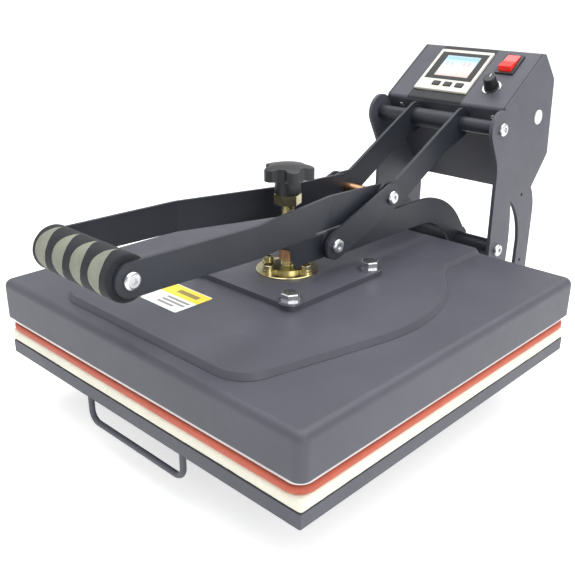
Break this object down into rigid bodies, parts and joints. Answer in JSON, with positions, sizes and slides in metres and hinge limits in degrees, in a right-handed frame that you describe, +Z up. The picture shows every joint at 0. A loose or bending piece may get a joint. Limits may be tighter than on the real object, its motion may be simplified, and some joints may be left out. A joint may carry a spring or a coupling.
{
  "type": "heat press",
  "caption": "Flat clamshell heat press: toggle-locked arm with a foam grip, heated platen on a pressure screw, slide-out padded drawer and a sloping control box.",
  "frame": {"origin": "middle of the footprint, on the surface that the feet stand on", "axes": "+Y to the back, from the grip to the control box; +Z up; +X to the operator's right"},
  "size_m": [0.386, 0.5805, 0.3204],
  "materials": {
    "slate_powder_coat": "fine texture powder coat",
    "black_powder_coat": "fine texture powder coat",
    "zinc_plate": "bright zinc plate",
    "yellow_zinc": "yellow passivated zinc",
    "bare_copper": "drawn copper-coloured rod",
    "aluminium_plate": "milled",
    "black_plastic": "moulded, slight sheen",
    "grey_plastic": "moulded",
    "white_plastic": "moulded",
    "red_plastic": "translucent red",
    "screen": "glossy window with a lit display",
    "grip_foam": "foam, black with sage bands",
    "feet_rubber": "matt",
    "cream_foam": "closed-cell foam",
    "red_silicone": "silicone sheet",
    "glass_wool": "fibrous",
    "circuit_board": "solder mask"
  },
  "bodies": {
    "base": {"base_tube_right": "black_powder_coat", "base_tube_left": "black_powder_coat", "upright_right": "slate_powder_coat", "upright_left": "slate_powder_coat", "base_crossbars": "black_powder_coat", "tube_end_caps": "black_plastic", "rubber_feet": "feet_rubber", "slide_rails": "zinc_plate", "upper_shaft": "black_powder_coat", "lower_shaft": "black_powder_coat", "shaft_screws": "zinc_plate", "control_box": "slate_powder_coat", "control_panel": "slate_powder_coat", "controller_bezel": "grey_plastic", "controller_screen": "screen", "rocker_frame": "black_plastic", "dial_bush": "zinc_plate", "side_plug": "white_plastic", "panel_screws": "zinc_plate", "power_inlet": "black_plastic", "control_board": "circuit_board"},
    "arm": {"arm_plate_right": "black_powder_coat", "arm_plate_left": "black_powder_coat", "carrier_plates": "black_powder_coat", "nut_block": "black_powder_coat", "arm_sleeve": "black_powder_coat", "arm_screws": "zinc_plate"},
    "lever": {"handle_bar_right": "black_powder_coat", "handle_bar_left": "black_powder_coat", "link_plate_right": "black_powder_coat", "link_plate_left": "black_powder_coat", "link_sleeve": "black_powder_coat", "spacer_rod": "bare_copper", "grip_tube": "zinc_plate", "foam_grip": "grip_foam", "grip_screws": "zinc_plate"},
    "toggle": {"toggle_links": "black_powder_coat", "toggle_screws": "zinc_plate"},
    "platen": {"platen_cover": "slate_powder_coat", "heating_platen": "aluminium_plate", "heating_element": "zinc_plate", "insulation": "glass_wool", "mount_plate": "slate_powder_coat", "mount_bolts": "zinc_plate", "swivel_disc": "yellow_zinc", "clamp_screws": "yellow_zinc"},
    "pressure_screw": {"pressure_rod": "yellow_zinc", "rod_collar": "bare_copper", "knob_nut": "yellow_zinc", "star_knob": "black_plastic"},
    "drawer": {"drawer_board": "slate_powder_coat", "foam_pad": "cream_foam", "silicone_pad": "red_silicone", "pull_loop": "slate_powder_coat", "slide_runners": "zinc_plate"},
    "rocker": {"rocker_switch": "red_plastic"},
    "dial": {"dial_knob": "black_plastic"},
    "button_1": {"controller_button_1": "black_plastic"},
    "button_2": {"controller_button_2": "black_plastic"},
    "button_3": {"controller_button_3": "black_plastic"}
  },
  "joints": [
    {"name": "arm_hinge", "type": "hinge", "parent": "base", "child": "arm", "pos_m": [0, 0.1889, 0.1175], "axis": [-1, 0, 0], "range_deg": [0, 45]},
    {"name": "lever_hinge", "type": "hinge", "parent": "base", "child": "lever", "pos_m": [0, 0.1726, 0.252], "axis": [-1, 0, 0], "range_deg": [0, 91]},
    {"name": "toggle_hinge", "type": "hinge", "parent": "arm", "child": "toggle", "pos_m": [0, -0.0349, 0.1677], "axis": [-1, 0, 0], "range_deg": [-77.1, 0]},
    {"name": "platen_lift", "type": "slide", "parent": "arm", "child": "platen", "axis": [0, 0, 1], "range_m": [0, 0.00175]},
    {"name": "pressure_screw_turn", "type": "hinge", "parent": "platen", "child": "pressure_screw", "pos_m": [0, -0.0617, 0.206], "axis": [0, 0, 1], "range_deg": [0, 361]},
    {"name": "drawer_slide", "type": "slide", "parent": "base", "child": "drawer", "axis": [0, -1, 0], "range_m": [0, 0.24]},
    {"name": "rocker_tip", "type": "hinge", "parent": "base", "child": "rocker", "pos_m": [0.0455, 0.23575, 0.30789], "axis": [1, 0, 0], "range_deg": [0, 20]},
    {"name": "dial_turn", "type": "hinge", "parent": "base", "child": "dial", "pos_m": [0.044, 0.20534, 0.28681], "axis": [0, -0.5698, 0.8218], "range_deg": [-150, 150]},
    {"name": "button_1_press", "type": "slide", "parent": "base", "child": "button_1", "axis": [0, 0.5698, -0.8218], "range_m": [0, 0.001], "stiffness_N_per_m": 400},
    {"name": "button_2_press", "type": "slide", "parent": "base", "child": "button_2", "axis": [0, 0.5698, -0.8218], "range_m": [0, 0.001], "stiffness_N_per_m": 400},
    {"name": "button_3_press", "type": "slide", "parent": "base", "child": "button_3", "axis": [0, 0.5698, -0.8218], "range_m": [0, 0.001], "stiffness_N_per_m": 400}
  ],
  "couplings": [
    {"joint": "lever_hinge", "follows": "arm_hinge", "ratio": 2.0178},
    {"joint": "toggle_hinge", "follows": "arm_hinge", "ratio": -1.7089},
    {"joint": "pressure_screw_turn", "follows": "platen_lift", "rad_per_m": 3590.4}
  ]
}
